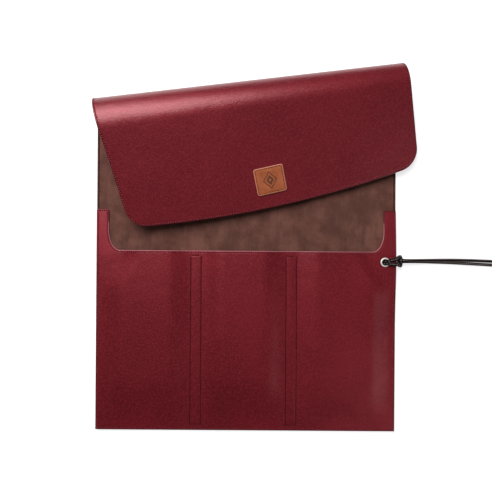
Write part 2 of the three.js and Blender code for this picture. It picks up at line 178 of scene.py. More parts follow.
# Cord routes, as in the part's source. Metres, x and y from the eyelet's centre.
# The hitch's rows are x, y, share, z and radius. Its z counts from that share of the lifted edge's height.
hitch_route = [
    (0.0300, 0.00110, 0.5, 0.00220, 0.00220),
    (0.0270, 0.00100, 0.5, 0.00260, 0.00220),
    (0.0244, 0.00080, 0.5, 0.00250, 0.00220),
    (0.0220, -0.00010, 0.5, 0.00140, 0.00220),
    (0.0200, -0.00060, 0.5, -0.00080, 0.00210),
    (0.0182, -0.00090, 0, 0.00250, 0.00185),
    (0.0155, -0.00120, 0, 0.00210, 0.00185),
    (0.0110, -0.00190, 0, 0.00205, 0.00185),
    (0.0055, -0.00190, 0, 0.00165, 0.00155),
    (0.0017, -0.00175, 0, 0.00230, 0.00155),
    (0.0000, -0.00175, 0.5, 0.00010, 0.00160),
    (0.0000, -0.00175, 1, 0.00020, 0.00160),
    (0.0015, -0.00195, 1, 0.00280, 0.00175),
    (0.0050, -0.00230, 1, 0.00390, 0.00200),
    (0.0100, -0.00250, 1, 0.00310, 0.00220),
    (0.0148, -0.00290, 1, 0.00280, 0.00220),
    (0.0192, -0.00400, 1, 0.00100, 0.00220),
    (0.0221, -0.00480, 0.5, 0.00210, 0.00220),
    (0.0242, -0.00320, 0, 0.00320, 0.00220),
    (0.0246, 0.00000, 0, 0.00230, 0.00220),
    (0.0247, 0.00190, 0, 0.00230, 0.00220),
    (0.0246, 0.00390, 0, 0.00230, 0.00220),
    (0.0238, 0.00630, 0, 0.00350, 0.00220),
    (0.0220, 0.00790, 0.5, 0.00220, 0.00220),
    (0.0192, 0.00750, 1, 0.00090, 0.00220),
    (0.0148, 0.00500, 1, 0.00270, 0.00220),
    (0.0100, 0.00350, 1, 0.00310, 0.00220),
    (0.0050, 0.00240, 1, 0.00390, 0.00200),
    (0.0015, 0.00195, 1, 0.00280, 0.00175),
    (0.0000, 0.00175, 1, 0.00020, 0.00160),
    (0.0000, 0.00175, 0.5, 0.00010, 0.00160),
    (0.0017, 0.00175, 0, 0.00230, 0.00155),
    (0.0055, 0.00200, 0, 0.00165, 0.00155),
    (0.0110, 0.00280, 0, 0.00205, 0.00185),
    (0.0158, 0.00300, 0, 0.00215, 0.00185),
    (0.0185, 0.00330, 0, 0.00400, 0.00185),
    (0.0198, 0.00340, 0.5, 0.00300, 0.00210),
    (0.0217, 0.00330, 1, 0.00090, 0.00220),
    (0.0242, 0.00310, 1, 0.00200, 0.00220),
    (0.0270, 0.00290, 1, 0.00250, 0.00220),
    (0.0300, 0.00270, 1, 0.00230, 0.00220),
]
lower_strand_route = [
    (0.0305, 0.0011, 0.0069), (0.037, 0.0011, 0.0056), (0.044, 0.0011, 0.0036), (0.052, 0.0010, 0.0026),
    (0.062, 0.0008, 0.00225), (0.074, 0.0005, 0.0022), (0.088, 0.0001, 0.0022), (0.102, -0.0004, 0.0022),
    (0.116, -0.0011, 0.0022), (0.130, -0.0018, 0.0022), (0.142, -0.0024, 0.0022), (0.153, -0.0030, 0.0022),
    (0.163, -0.0035, 0.0022),
]
upper_strand_route = [
    (0.0305, 0.0027, 0.0117), (0.037, 0.0028, 0.0105), (0.044, 0.0029, 0.0086), (0.052, 0.0030, 0.0075),
    (0.062, 0.0032, 0.0068), (0.074, 0.0034, 0.0064), (0.088, 0.0036, 0.0058), (0.102, 0.0036, 0.0050),
    (0.116, 0.0034, 0.0040), (0.130, 0.0030, 0.0030), (0.142, 0.0026, 0.0024), (0.153, 0.0022, 0.0022),
    (0.163, 0.0018, 0.0022),
]
cord_radius = cord_diameter / 2000
eyelet_place = in_frame([eyelet_x, eyelet_y, 0])


def smooth_step(t):
    c = np.clip(t, 0, 1)
    return c * c * (3 - 2 * c)


# Mesh making
def make_object(name, points, faces, materials):
    mesh = bpy.data.meshes.new(name)
    mesh.from_pydata([tuple(p) for p in points.tolist()], [], faces)
    mesh.validate()
    mesh.shade_smooth()
    for material in materials:
        mesh.materials.append(material)
    made = bpy.data.objects.new(name, mesh)
    scene.collection.objects.link(made)
    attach(made, "root")
    return made


def add_attribute(made, name, values):
    attribute = made.data.attributes.new(name, "FLOAT", "POINT")
    attribute.data.foreach_set("value", np.asarray(values, np.float32))


# Shader making
def node(tree, kind, values=None, **settings):
    made = tree.nodes.new(kind)
    for key, value in settings.items():
        setattr(made, key, value)
    for key, value in (values or {}).items():
        made.inputs[key].default_value = value
    return made


def wire(tree, source, target):
    tree.links.new(source, target)


def feed(tree, shader, sources):
    for socket, source in sources.items():
        wire(tree, source, shader.inputs[socket])


def start_material(name, shader_values):
    material = bpy.data.materials.new(name)
    material.use_nodes = True
    tree = material.node_tree
    shader = tree.nodes["Principled BSDF"]
    for key, value in shader_values.items():
        shader.inputs[key].default_value = value
    return material, tree, shader


def object_coords(tree, stretch=(1, 1, 1)):
    coords = node(tree, "ShaderNodeTexCoord")
    mapping = node(tree, "ShaderNodeMapping", {"Scale": stretch})
    wire(tree, coords.outputs["Object"], mapping.inputs["Vector"])
    return mapping.outputs["Vector"]


def noise(tree, vector, scale, detail=3.0, roughness=0.5, distortion=0.0):
    made = node(tree, "ShaderNodeTexNoise", {
        "Scale": scale, "Detail": detail, "Roughness": roughness, "Distortion": distortion,
    })
    wire(tree, vector, made.inputs["Vector"])
    return made.outputs["Fac"]


def cells(tree, vector, scale):
    made = node(tree, "ShaderNodeTexVoronoi", {"Scale": scale})
    wire(tree, vector, made.inputs["Vector"])
    return made.outputs["Distance"]


def reading(tree, name):
    return node(tree, "ShaderNodeAttribute", attribute_name=name).outputs["Fac"]


def spread(tree, value, low, high, to_low=0.0, to_high=1.0):
    made = node(tree, "ShaderNodeMapRange", {
        "From Min": low, "From Max": high, "To Min": to_low, "To Max": to_high,
    })
    made.interpolation_type = "SMOOTHSTEP"
    wire(tree, value, made.inputs["Value"])
    return made.outputs["Result"]


def sums(tree, operation, first, second=0):
    made = node(tree, "ShaderNodeMath", operation=operation)
    for socket, value in zip(made.inputs, (first, second)):
        if isinstance(value, (int, float)):
            socket.default_value = value
        else:
            wire(tree, value, socket)
    return made.outputs["Value"]


def times(tree, first, second):
    return sums(tree, "MULTIPLY", first, second)


def blend(tree, share, first, second):
    made = node(tree, "ShaderNodeMix", data_type="RGBA")
    wire(tree, share, made.inputs[0])
    for socket, value in ((made.inputs[6], first), (made.inputs[7], second)):
        if isinstance(value, tuple):
            socket.default_value = (*value, 1)
        else:
            wire(tree, value, socket)
    return made.outputs[2]


def tinted(tree, under, colour, value, low, high, to_low=0.0, to_high=1.0):
    """colour laid over under by a share: to_low where value is low, to_high where it is high."""
    return blend(tree, spread(tree, value, low, high, to_low, to_high), under, colour)


def darker(colour, share):
    return tuple(c * share for c in colour)


def bump(tree, height, distance, strength, under=None):
    made = node(tree, "ShaderNodeBump", {"Distance": distance, "Strength": strength})
    wire(tree, height, made.inputs["Height"])
    if under is not None:
        wire(tree, under, made.inputs["Normal"])
    return made.outputs["Normal"]


# Burgundy leather: fine pebbled grain, even dye, painted shade in the stitch grooves and dark painted edges.
# The attributes "edge" and "seam" are distances in millimetres. Where "raw" is 1 the edge is cut and left
# pale, as at the pocket's mouth. Where the fourth attribute is high, a painted highlight lightens the dye.
edge_paint = (0.022, 0.006, 0.008)
cut_leather = (0.40, 0.15, 0.17)


def leather(name, deep, full, worn_and_highlight, gloss, coat):
    material, tree, shader = start_material(name, {
        "Specular IOR Level": gloss, "IOR": 1.7, "Specular Tint": (1.0, 0.12, 0.165, 1),
        "Coat Weight": coat, "Coat Roughness": 0.24,
    })
    coords = object_coords(tree)
    clouds = noise(tree, coords, 9)
    specks = noise(tree, coords, 430, 2, 0.55)
    pores = cells(tree, coords, 640)
    wrinkles = noise(tree, coords, 620, 3, 0.6, 0.3)
    slack = noise(tree, coords, 38)
    mottle = noise(tree, coords, 800, 1)
    edge, seam, raw, painted_highlight = (reading(tree, each) for each in ("edge", "seam", "raw", "painted_highlight"))
    dye_and_painted_light = tinted(tree, deep, full, clouds, 0.3, 0.7)
    dye_and_painted_light = tinted(tree, dye_and_painted_light, worn_and_highlight, specks, 0.38, 0.7, 0, 0.5)
    dye_and_painted_light = tinted(tree, dye_and_painted_light, darker(deep, 0.6), pores, 0.05, 0.5, 0.42, 0)
    # Painted shade: the dye darkens along the stitch grooves
    dye_and_painted_light = tinted(tree, dye_and_painted_light, darker(deep, 0.32), seam, 0.3, 1.0, 0.22, 0)
    # Painted highlight: the dye turns towards the pale colour in patches where the fourth attribute is high
    patchy_share = times(tree, painted_highlight, spread(tree, slack, 0.3, 0.7, 0.3, 0.62))
    dye_and_painted_light = blend(tree, patchy_share, dye_and_painted_light, worn_and_highlight)
    painted = times(tree, spread(tree, edge, 0.5, 1.15, 1, 0), sums(tree, "SUBTRACT", 1.0, raw))
    dye_and_painted_light = blend(tree, painted, dye_and_painted_light, edge_paint)
    cut = times(tree, spread(tree, edge, 0.6, 1.1, 1, 0), raw)
    dye_and_painted_light = blend(tree, cut, dye_and_painted_light, cut_leather)
    grain = sums(tree, "ADD", pores, times(tree, wrinkles, 0.6))
    soft = bump(tree, slack, 0.004, 0.12)
    feed(tree, shader, {
        "Base Color": dye_and_painted_light,
        "Roughness": spread(tree, wrinkles, 0.3, 0.75, 0.42, 0.54),
        "Normal": bump(tree, grain, 0.0003, 0.5, soft),
        "Coat Normal": bump(tree, mottle, 0.0006, 0.35, soft),
    })
    return material


# Brown suede: brushed nap with streaks, dark edge
def suede():
    material, tree, shader = start_material("suede", {
        "Roughness": 0.92, "Specular IOR Level": 0.15, "Sheen Weight": 0.35, "Sheen Roughness": 0.5,
        "Sheen Tint": (0.6, 0.4, 0.34, 1),
    })
    coords = object_coords(tree)
    brushed = object_coords(tree, (1, 0.22, 1))
    clouds = noise(tree, coords, 34, 4, 0.65)
    streaks = noise(tree, brushed, 75, 4, 0.6, 0.4)
    nap = noise(tree, coords, 900, 3, 0.7)
    brown = tinted(tree, (0.098, 0.0375, 0.0280), (0.176, 0.073, 0.055), clouds, 0.3, 0.7)
    brown = tinted(tree, brown, (0.080, 0.034, 0.026), streaks, 0.42, 0.7, 0, 0.6)
    brown = tinted(tree, brown, (0.25, 0.115, 0.088), nap, 0.5, 0.8, 0, 0.4)
    # Painted shade: darker along the stitch grooves
    brown = tinted(tree, brown, (0.03, 0.014, 0.011), reading(tree, "seam"), 0.3, 1.3, 0.5, 0)
    brown = tinted(tree, brown, (0.02, 0.009, 0.008), reading(tree, "edge"), 0.6, 1.5, 1, 0)
    fuzz = sums(tree, "ADD", nap, times(tree, streaks, 0.5))
    feed(tree, shader, {"Base Color": brown, "Normal": bump(tree, fuzz, 0.0005, 0.6)})
    return material


def thread(name, colour, light):
    material, tree, shader = start_material(name, {"Roughness": 0.6, "Specular IOR Level": 0.15})
    fibres = noise(tree, object_coords(tree), 2600, 2, 0.6)
    yarn = tinted(tree, colour, light, fibres, 0.35, 0.7)
    feed(tree, shader, {"Base Color": yarn, "Normal": bump(tree, fibres, 0.0002, 0.5)})
    return material


# Stitch holes: flat dark discs, painted shade for the hollow of each hole
def painted_hole_shade():
    material, tree, shader = start_material("painted_hole_shade", {"Roughness": 0.85, "Specular IOR Level": 0.1})
    hole_shade_mottle = noise(tree, object_coords(tree), 1800, 2)
    dark = blend(tree, hole_shade_mottle, (0.022, 0.0005, 0.0016), (0.036, 0.001, 0.003))
    feed(tree, shader, {"Base Color": dark})
    return material


# Tan patch leather with a plain debossed lozenge. Its map runs in millimetres from the middle.
def tan_leather():
    material, tree, shader = start_material("tan_leather", {"Specular IOR Level": 0.35})
    coords = object_coords(tree)
    flat_map = node(tree, "ShaderNodeUVMap", uv_map="pattern")
    axes = node(tree, "ShaderNodeSeparateXYZ")
    wire(tree, flat_map.outputs["UV"], axes.inputs["Vector"])
    across = sums(tree, "ABSOLUTE", axes.outputs["X"])
    up = sums(tree, "ABSOLUTE", axes.outputs["Y"])
    wobble = times(tree, sums(tree, "SUBTRACT", noise(tree, coords, 420, 2), 0.5), 0.7)
    reach = sums(tree, "ADD", sums(tree, "ADD", across, times(tree, up, 0.8)), wobble)
    outer = times(tree, spread(tree, reach, 9.6, 9.9, 1, 0), spread(tree, reach, 8.0, 8.3, 0, 1))
    middle = spread(tree, reach, 5.2, 5.5, 1, 0)
    core = spread(tree, reach, 1.9, 2.2, 0, 1)
    stamp = sums(tree, "MAXIMUM", outer, times(tree, middle, core))
    clouds = noise(tree, coords, 90, 4, 0.6)
    pores = cells(tree, coords, 1500)
    tan = tinted(tree, (0.36, 0.088, 0.030), (0.47, 0.125, 0.045), clouds, 0.3, 0.7)
    tan = tinted(tree, tan, (0.27, 0.07, 0.025), pores, 0.0, 0.4, 0.25, 0)
    tan = blend(tree, times(tree, stamp, 0.86), tan, (0.085, 0.032, 0.016))
    # Painted shade: darker along the stitch groove
    tan = tinted(tree, tan, (0.13, 0.035, 0.014), reading(tree, "seam"), 0.2, 0.9, 0.2, 0)
    tan = tinted(tree, tan, (0.62, 0.25, 0.17), reading(tree, "edge"), 0.7, 1.3, 0.85, 0)
    grain = sums(tree, "SUBTRACT", times(tree, pores, 0.3), stamp)
    feed(tree, shader, {
        "Base Color": tan,
        "Roughness": spread(tree, clouds, 0.3, 0.7, 0.46, 0.6),
        "Normal": bump(tree, grain, 0.0005, 0.7),
    })
    return material


# Pale metal. The attribute "bore" is how far a point lies outside the bore, near which the metal is darkened
# as painted shade.
def pale_metal():
    material, tree, shader = start_material("pale_metal", {"Metallic": 0.25})
    patchy_share = noise(tree, object_coords(tree), 260, 4, 0.6)
    turned = noise(tree, object_coords(tree, (1, 1, 9)), 900, 2)
    bright = blend(tree, patchy_share, (0.98, 0.88, 0.82), (1.0, 0.96, 0.92))
    metal_and_painted_shade = tinted(tree, bright, (0.02, 0.015, 0.014), reading(tree, "bore"), 0.55, 1.5, 0.92, 0)
    feed(tree, shader, {
        "Base Color": metal_and_painted_shade,
        "Roughness": spread(tree, patchy_share, 0.3, 0.7, 0.34, 0.46),
        "Normal": bump(tree, turned, 0.0001, 0.2),
    })
    return material


# Waxed braid: dark yarns with a painted highlight on their crowns
def braid(name, dark, light):
    material, tree, shader = start_material(name, {"Specular IOR Level": 0.0})
    yarns = noise(tree, object_coords(tree), 1700, 3, 0.6)
    # Painted highlight: pale colour on the plaits' crowns
    dye_and_painted_light = tinted(tree, dark, light, reading(tree, "crown"), 0.7, 0.94)
    dye_and_painted_light = tinted(tree, dye_and_painted_light, light, yarns, 0.5, 0.8, 0, 0.06)
    feed(tree, shader, {
        "Base Color": dye_and_painted_light,
        "Roughness": spread(tree, yarns, 0.3, 0.7, 0.5, 0.7),
        "Normal": bump(tree, yarns, 0.00025, 0.6),
    })
    return material


shell_leather = leather(
    "shell_leather", (0.092, 0.0062, 0.0098), (0.124, 0.0084, 0.0128), (0.23, 0.024, 0.034), 0.80, 0.54,
)
pocket_leather = leather(
    "pocket_leather", (0.096, 0.0064, 0.0100), (0.130, 0.0086, 0.0130), (0.23, 0.024, 0.033), 0.55, 0.2,
)
lining_suede = suede()
patch_leather = tan_leather()
eyelet_metal = pale_metal()
cord_braid = braid("cord_braid", (0.004, 0.0020, 0.0020), (0.80, 0.66, 0.62))
burgundy_thread = thread("burgundy_thread", (0.38, 0.036, 0.050), (0.62, 0.105, 0.13))
band_thread = thread("band_thread", (0.085, 0.006, 0.010), (0.17, 0.018, 0.026))
lining_thread = thread("lining_thread", (0.05, 0.014, 0.014), (0.10, 0.03, 0.03))
patch_thread = thread("patch_thread", (0.07, 0.024, 0.012), (0.13, 0.05, 0.026))
hole_shade = painted_hole_shade()


# The cut sheet, bent over the fold
def lift_at(x, y):
    across = smooth_step((x - (half_width - lift_flat - lift_run)) / lift_run)
    along = np.clip((y - eyelet_y) / lift_reach, -1, 1)
    return edge_lift * across * np.cos(along * math.pi / 2) ** 2


def turn_at(travel, arc):
    t = np.clip(travel / arc, 0, 1)
    bend = fold_turn * (t - fold_roundness * np.sin(2 * math.pi * t) / (2 * math.pi))
    return bend + (flap_turn - fold_turn) * smooth_step((travel - arc) / flap_settle)


def slack_at(x, y):
    """Soft unevenness of the flap, outwards from its outer face, the same for every layer of it."""
    ripple = np.sin(x / 47 + y / 130) + 0.6 * np.sin(x / 23 - y / 61 + 1.3)
    return slack_height * smooth_step((y - slack_start) / slack_run) * ripple


def fold_points(x, y, offset):
    x, y, offset = np.broadcast_arrays(x, y, offset)
    along = x * math.cos(fold_skew) + y * math.sin(fold_skew)
    square = -x * math.sin(fold_skew) + y * math.cos(fold_skew)
    across = along - fold_middle * math.sin(fold_skew) + half_width
    start = fold_start_left + start_slope * across
    arc = math.pi * (fold_radius_left + radius_slope * across)
    travel = np.maximum(0, square - start)
    forward = np.minimum(square, start)
    height = np.zeros_like(forward)
    for k in range(fold_steps):
        turn = turn_at((k + 0.5) / fold_steps * travel, arc)
        forward = forward + np.cos(turn) * travel / fold_steps
        height = height + np.sin(turn) * travel / fold_steps
    turn = turn_at(travel, arc)
    out = offset - slack_at(x, y)
    forward = forward - np.sin(turn) * out
    height = height + np.cos(turn) * out
    return np.stack([
        along * math.cos(fold_skew) - forward * math.sin(fold_skew),
        along * math.sin(fold_skew) + forward * math.cos(fold_skew),
        height + lift_at(x, y),
    ], axis=-1)


def band_edges():
    centres = [share * half_width for share in band_shares]
    return [(c - band_width / 2, c + band_width / 2) for c in centres]


def crown_at(x, y):
    near_mouth = smooth_step((y - (mouth_height - scoop_ease)) / scoop_ease)
    side = half_width - seam_land - (post_width + scoop_run - seam_land) * near_mouth
    left, right = band_edges()
    spans = [(-side, left[0]), (left[1], right[0]), (right[1], side)]
    crown = np.zeros_like(x)
    for (start, end), height in zip(spans, pocket_crowns):
        ease = np.minimum(side_ease, (end - start) / 2)
        rise = smooth_step((x - start) / ease) * smooth_step((end - x) / ease)
        crown = crown + height * rise * smooth_step((y - seam_land) / hem_ease)
    away = np.hypot(x - eyelet_x, y - eyelet_y)
    return crown * smooth_step((away - eyelet_flat) / eyelet_ease)


def pocket_points(x, y, offset):
    x, y, offset = np.broadcast_arrays(x, y, offset)
    return np.stack([x, y, pocket_base + offset + lift_at(x, y) + crown_at(x, y)], axis=-1)


# Flat patterns: closed outlines, inset rings, stitch lines and a filled mesh
def round_angles(count):
    return np.arange(count) * 2 * math.pi / count


def from_eyelet(points):
    return np.linalg.norm(points - eyelet_centre, axis=1)


def spaced(start, end, step):
    count = max(1, int(round(math.dist(start, end) / step)))
    share = np.arange(count)[:, None] / count
    return np.array(start) + share * (np.array(end) - np.array(start))


def unit(rows):
    return rows / np.linalg.norm(rows, axis=1)[:, None]


def run_along(points):
    """How far along a line each of its points lies."""
    gaps = np.linalg.norm(np.diff(points, axis=0), axis=1)
    return np.concatenate([[0], np.cumsum(gaps)])


def line_at(points, run, places):
    return np.stack([np.interp(places, run, points[:, k]) for k in range(points.shape[1])], axis=-1)


def resample(line, step, closed=False):
    points = np.vstack([line, line[:1]]) if closed else line
    run = run_along(points)
    count = max(2, int(round(run[-1] / step)))
    places = np.linspace(0, run[-1], count + 1)
    return line_at(points, run, places[:-1] if closed else places)


def tube_faces(bases, rings, corners):
    """Quads between each ring of corners and the next, for tubes whose points begin at bases."""
    start = np.reshape(bases, (-1, 1, 1)) + np.arange(rings - 1)[:, None] * corners
    a = start + np.arange(corners)
    b = start + (np.arange(corners) + 1) % corners
    return np.stack([a, b, b + corners, a + corners], axis=-1).reshape(-1, 4)


def inset_ring(loop, distance):
    before = unit(loop - np.roll(loop, 1, axis=0))
    after = unit(np.roll(loop, -1, axis=0) - loop)
    normal_before = np.stack([-before[:, 1], before[:, 0]], axis=1)
    normal_after = np.stack([-after[:, 1], after[:, 0]], axis=1)
    both = normal_before + normal_after
    return loop + distance * both / (1 + (normal_before * normal_after).sum(1))[:, None]


def distance_to(points, line, closed=True):
    """Each point's distance to a line, worked out in chunks to save memory."""
    chunk = 1500
    ends = np.roll(line, -1, axis=0) if closed else line[1:]
    starts = line if closed else line[:-1]
    step = ends - starts
    length = (step ** 2).sum(1)
    nearest = np.empty(len(points))
    for k in range(0, len(points), chunk):
        part = points[k:k + chunk]
        gap = part[:, None, :] - starts[None]
        share = np.clip((gap * step).sum(2) / length, 0, 1)
        gap = gap - share[..., None] * step
        nearest[k:k + chunk] = np.sqrt((gap ** 2).sum(2).min(1))
    return nearest


def inside(points, loop):
    x, y = points[:, 0], points[:, 1]
    hit = np.zeros(len(points), bool)
    for a, b in zip(loop, np.roll(loop, -1, axis=0)):
        if a[1] == b[1]:
            continue
        crosses = (a[1] > y) != (b[1] > y)
        hit ^= crosses & (x < a[0] + (y - a[1]) * (b[0] - a[0]) / (b[1] - a[1]))
    return hit


edge_rings = (0.0, 0.09, 0.32, 0.9, 1.5, 2.0, 2.5, 3.0, 3.5, 4.1, 4.8, 6.2)
seam_offsets = (-1.5, -0.8, -0.4, 0.0, 0.4, 0.8, 1.5)
hole_rings = (0.0, 0.09, 0.32, 0.9, 2.2, 4.2)
hole_sides = 32
hole_clear = 6
seam_clear = 3.0
on_edge = 2e-3
least_area = 1e-7


class Pattern:
    """A flat sheet: its points, triangles, and how far each point is from the edge and the seams."""

    def __init__(self, loop, columns, rows, seams=(), hole=None, rings=edge_rings, clear=5.0):
        count = len(loop)
        points = [loop] + [inset_ring(loop, distance) for distance in rings[1:]]
        edges = []
        for k, distance in enumerate(rings):
            if distance in (0.0, rings[-1]) or k % 3 == 0:
                edges += [(k * count + i, k * count + (i + 1) % count) for i in range(count)]
        total = count * len(rings)
        for line in seams:
            way = unit(np.gradient(line, axis=0))
            square = np.stack([-way[:, 1], way[:, 0]], axis=1)
            points += [line + offset * square for offset in seam_offsets]
            total += len(line) * len(seam_offsets)
        grid = np.array([(x, y) for y in rows for x in columns])
        keep = inside(grid, loop) & (distance_to(grid, loop) > rings[-1] + clear * 0.5)
        for line in seams:
            keep &= distance_to(grid, line, False) > seam_clear
        if hole is not None:
            angles = round_angles(hole_sides)
            circle = np.stack([np.cos(angles), np.sin(angles)], axis=1)
            points += [eyelet_centre + (hole + distance) * circle for distance in hole_rings]
            edges += [(total + i, total + (i + 1) % hole_sides) for i in range(hole_sides)]
            keep &= from_eyelet(grid) > hole + hole_clear
        points.append(grid[keep])
        made = delaunay_2d_cdt([Vector(p) for p in np.vstack(points).tolist()], edges, [], 0, 1e-5, False)
        self.flat = np.array([tuple(v) for v in made[0]])
        triangles = np.array(made[2])
        middles = self.flat[triangles].mean(1)
        wanted = inside(middles, loop)
        if hole is not None:
            wanted &= from_eyelet(middles) > hole * math.cos(math.pi / hole_sides) * 0.999
        triangles = triangles[wanted]
        a, b, c = (self.flat[triangles[:, k]] for k in range(3))
        area = (b[:, 0] - a[:, 0]) * (c[:, 1] - a[:, 1]) - (b[:, 1] - a[:, 1]) * (c[:, 0] - a[:, 0])
        triangles[area < 0] = triangles[area < 0][:, ::-1]
        self.triangles = triangles[np.abs(area) > least_area]
        self.edge = distance_to(self.flat, loop)
        if hole is not None:
            self.edge = np.minimum(self.edge, np.maximum(from_eyelet(self.flat) - hole, 0))
        self.edge[self.edge < on_edge] = 0
        self.seam = np.full(len(self.flat), 9.0)
        for line in seams:
            self.seam = np.minimum(self.seam, distance_to(self.flat, line, False))

    def on_both(self, values):
        """values for the upper face's points, then for the lower face's, which shares the upper one's rim."""
        return np.concatenate([values, values[self.edge > 0]])


def sheet_piece(name, pattern, surface, bottom, top, material, rim_seam=True, relief=None,
                groove_bottom=False, roundness=0.9):
    """A closed sheet with rounded edges. bottom and top are offsets that surface() understands."""
    flat, edge, seam = pattern.flat, pattern.edge, pattern.seam
    if rim_seam:
        seam = np.minimum(seam, np.abs(edge - stitch_inset))
    groove = groove_depth * np.exp(-(seam / groove_width) ** 2)
    full = np.sqrt(1 - (1 - np.clip(edge / roundness, 0, 1)) ** 2)
    middle = (bottom + top) / 2
    half = (top - bottom) / 2
    low = middle - half * full
    high = middle + half * full
    if groove_bottom:
        low = low + groove
    else:
        high = high - groove
    if relief is not None:
        high = high + relief(flat) * (full > 0.99)
    extra = np.where(edge > 0)[0]
    lower_index = np.arange(len(flat))
    lower_index[extra] = len(flat) + np.arange(len(extra))
    upper = surface(flat[:, 0], flat[:, 1], high)
    lower = surface(flat[extra, 0], flat[extra, 1], low[extra])
    faces = np.vstack([pattern.triangles, lower_index[pattern.triangles][:, ::-1]])
    made = make_object(name, in_frame(np.vstack([upper, lower])), faces.tolist(), [material])
    add_attribute(made, "edge", pattern.on_both(np.minimum(edge, 12)))
    add_attribute(made, "seam", pattern.on_both(np.minimum(seam, 6)))
    return made


# Each stitch is a short tube that dips into a hole at both ends: shares of its length, and heights
stitch_shares = np.array([-0.5, -0.36, 0.0, 0.36, 0.5])
stitch_rise = np.array([-0.75, -0.12, 0.16, -0.12, -0.75])


def stitches(name, lines, surface, face, way, sink, material, closed=False, length=stitch_length,
             pitch=stitch_pitch, radius=thread_radius, reach=hole_reach):
    """Thread and holes along flat lines. way is 1 where outwards is a higher offset, else -1."""
    angles = round_angles(thread_sides)
    out = radius * np.cos(angles) + (stitch_rise - sink)[:, None]
    off = radius * np.sin(angles) + (thread_slant * stitch_shares / 0.5)[:, None]
    rim = round_angles(hole_corners)
    hole_x = np.concatenate([[0], reach * np.cos(rim)])
    hole_y = np.concatenate([[0], reach * np.sin(rim)])
    hole_z = np.concatenate([[-hole_depth], np.full(hole_corners, hole_lip)])
    rings = len(stitch_shares)
    points = []
    faces = []
    hole_faces = []
    total = 0
    for line in lines:
        if closed:
            line = np.vstack([line, line[:1]])
        run = run_along(line)
        count = max(1, int(run[-1] / pitch))
        step = run[-1] / count
        at = ((np.arange(count) + 0.5) * step)[:, None] + stitch_shares * length
        place = line_at(line, run, at)
        ahead = line_at(line, run, at + 0.2) - line_at(line, run, at - 0.2)
        ahead /= (np.hypot(ahead[..., 0], ahead[..., 1]) + 1e-9)[..., None]
        placed = surface(
            place[..., :1] - ahead[..., 1:] * off, place[..., 1:] + ahead[..., :1] * off, face + way * out,
        )
        quads = tube_faces(total + np.arange(count) * rings * thread_sides, rings, thread_sides)
        points.append(placed.reshape(-1, 3))
        faces += quads[:, [0, 3, 2, 1] if way > 0 else [1, 2, 3, 0]].tolist()
        total += count * rings * thread_sides
        # Each hole is a flat dark disc with the painted shade material
        hole_at = np.arange(count + (0 if closed else 1)) * step
        middle = line_at(line, run, hole_at)
        placed = surface(middle[:, :1] + hole_x, middle[:, 1:] + hole_y, face + way * hole_z)
        base = total + np.arange(len(hole_at))[:, None] * (hole_corners + 1)
        first = base + 1 + np.arange(hole_corners)
        second = base + 1 + (np.arange(hole_corners) + 1) % hole_corners
        fans = np.stack([base + 0 * first, first, second], axis=-1).reshape(-1, 3)
        points.append(placed.reshape(-1, 3))
        hole_faces += fans[:, ::way].tolist()
        total += len(hole_at) * (hole_corners + 1)
    made = make_object(name, in_frame(np.vstack(points)), faces + hole_faces, [material, hole_shade])
    marks = np.zeros(len(made.data.polygons), np.int32)
    marks[len(faces):] = 1
    made.data.polygons.foreach_set("material_index", marks)
    return made


# The outline of the roll's sheet
def taper_at(side, y):
    share = np.clip((y - taper_start) / (side_length - taper_start), 0, 1)
    return share * (flap_taper_left if side < 0 else flap_taper_right)


def sheet_outline():
    sweep = math.pi / 2 - math.atan(2 * end_bow / (half_width - flap_corner_radius))
    corner_start = side_length - flap_corner_radius * math.sin(sweep)
    end_inset = flap_corner_radius * (1 - math.cos(sweep))

    def side_points(side):
        last = corner_start + side * end_slant
        stops = np.concatenate([
            np.arange(0, bend_from, hem_step),
            np.arange(bend_from, bend_to, bend_step),
            np.arange(bend_to, last - 1, flap_step),
        ])
        return np.array([(side * (half_width - taper_at(side, y)), y) for y in stops])

    def corner(side, angle):
        y = corner_start + side * end_slant + flap_corner_radius * math.sin(angle)
        x = half_width - taper_at(side, y) - flap_corner_radius * (1 - math.cos(angle))
        return side * x, y

    def end_point(column):
        side = 1 if column > 0 else -1
        x = column * (1 - (end_inset + taper_at(side, side_length)) / half_width)
        return x, side_length + end_bow * (1 - (column / half_width) ** 2) + end_slant * column / half_width

    angles = np.linspace(0, sweep, 15)
    right_corner = np.array([corner(1, a) for a in angles])
    left_corner = np.array([corner(-1, a) for a in angles[::-1]])
    hem = spaced((-half_width, 0), (half_width, 0), hem_step)
    end = np.array([end_point(c) for c in np.linspace(half_width, -half_width, 118)[1:-1]])
    left = side_points(-1)[::-1]
    return np.vstack([hem, side_points(1), right_corner, end, left_corner, left[:-1]])


sheet_loop = sheet_outline()
sheet_columns = np.linspace(-205, 205, 54)
sheet_rows = np.concatenate([np.arange(8, 420, 9.0), np.arange(420, 585, 3.0), np.arange(585, 690, 6.0)])
sheet = Pattern(sheet_loop, sheet_columns, sheet_rows, hole=hole_radius)

shell = sheet_piece(
    "shell", sheet, fold_points, 0.0, shell_thickness, shell_leather, groove_bottom=True,
)
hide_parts("outer_shell")
lining = sheet_piece(
    "suede_lining", sheet, fold_points, lining_base, lining_top, lining_suede,
)
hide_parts("lining")


